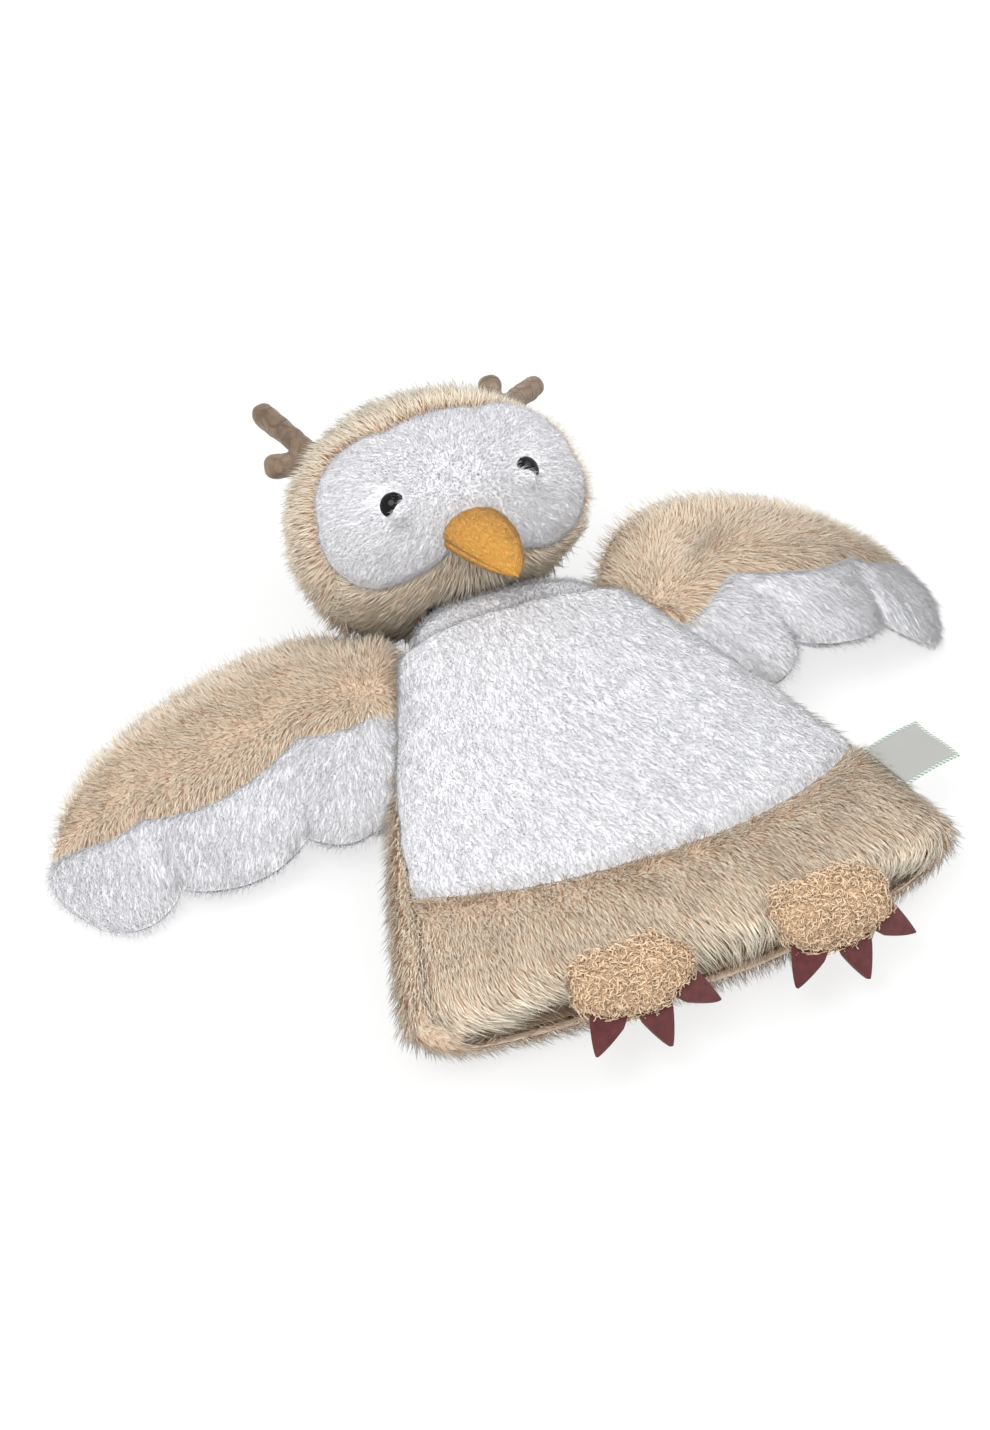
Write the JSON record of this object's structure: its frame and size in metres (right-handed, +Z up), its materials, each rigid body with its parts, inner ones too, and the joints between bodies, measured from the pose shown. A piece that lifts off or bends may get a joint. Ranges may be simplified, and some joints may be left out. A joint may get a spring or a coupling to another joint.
{
  "type": "owl hand puppet",
  "caption": "Soft hand puppet of an owl on its back: stuffed head with horns and beak that turns on a bored neck, glove body open at the hem, hinged stuffed wings and feet with felt claws.",
  "frame": {"origin": "on the flat of the back that lies on the table, midway between the side seams", "axes": "+Z up out of the table and out of the belly, +Y from the hem to the head, +X to the owl's own left wing"},
  "size_m": [0.3811, 0.3401, 0.0962],
  "materials": {
    "long_fur": "long beige faux fur",
    "white_plush": "short white plush",
    "chin_fur": "short brown-beige fur",
    "curly_plush": "curly tan plush",
    "beak_plush": "velvety orange plush",
    "suede": "grey-brown suede cloth",
    "felt": "dark red felt",
    "eye": "glossy black",
    "washer": "plain white",
    "lining": "plain woven lining",
    "wadding": "fibre filling",
    "ribbon": "woven ribbon"
  },
  "bodies": {
    "torso": {"belly_panel": "white_plush", "hem_band": "long_fur", "back_panel": "long_fur", "hand_lining": "lining", "seam_label": "ribbon"},
    "neck": {"neck_collar": "white_plush"},
    "head": {"hood": "long_fur", "face_mask": "white_plush", "chin_panel": "chin_fur", "right_eye": "eye", "left_eye": "eye", "right_eye_washer": "washer", "left_eye_washer": "washer", "right_horn": "suede", "left_horn": "suede", "right_horn_filling": "wadding", "left_horn_filling": "wadding", "head_filling": "wadding", "head_finger_pocket": "lining", "beak_top": "beak_plush", "beak_underside": "beak_plush", "beak_filling": "wadding"},
    "right_wing": {"right_wing_coverts": "long_fur", "right_wing_feathers": "white_plush", "right_wing_underside": "white_plush", "right_wing_wadding": "wadding", "right_wing_pocket": "lining"},
    "left_wing": {"left_wing_coverts": "long_fur", "left_wing_feathers": "white_plush", "left_wing_underside": "white_plush", "left_wing_wadding": "wadding", "left_wing_pocket": "lining"},
    "right_foot": {"right_foot_upper": "curly_plush", "right_foot_sole": "curly_plush", "right_foot_filling": "wadding", "right_outer_claw": "felt", "right_middle_claw": "felt", "right_inner_claw": "felt"},
    "left_foot": {"left_foot_upper": "curly_plush", "left_foot_sole": "curly_plush", "left_foot_filling": "wadding", "left_outer_claw": "felt", "left_middle_claw": "felt", "left_inner_claw": "felt"}
  },
  "joints": [
    {"name": "neck_turn", "type": "hinge", "parent": "torso", "child": "neck", "pos_m": [0, 0.098, 0.025], "axis": [0, 1, 0], "range_deg": [-10, 10]},
    {"name": "head_nod", "type": "hinge", "parent": "neck", "child": "head", "pos_m": [0, 0.098, 0.025], "axis": [1, 0, 0], "range_deg": [-25, 12]},
    {"name": "right_wing_flap", "type": "hinge", "parent": "torso", "child": "right_wing", "pos_m": [-0.06865, 0.06, 0.017], "axis": [0.3864, 0.9223, 0], "range_deg": [-20, 35]},
    {"name": "left_wing_flap", "type": "hinge", "parent": "torso", "child": "left_wing", "pos_m": [0.06865, 0.06, 0.017], "axis": [0.3864, -0.9223, 0], "range_deg": [-20, 35]},
    {"name": "right_foot_swing", "type": "hinge", "parent": "torso", "child": "right_foot", "pos_m": [-0.034, -0.09, 0.03677], "axis": [-1, 0, 0], "range_deg": [0, 70]},
    {"name": "left_foot_swing", "type": "hinge", "parent": "torso", "child": "left_foot", "pos_m": [0.045, -0.08694, 0.03681], "axis": [-1, 0, 0], "range_deg": [0, 70]}
  ]
}
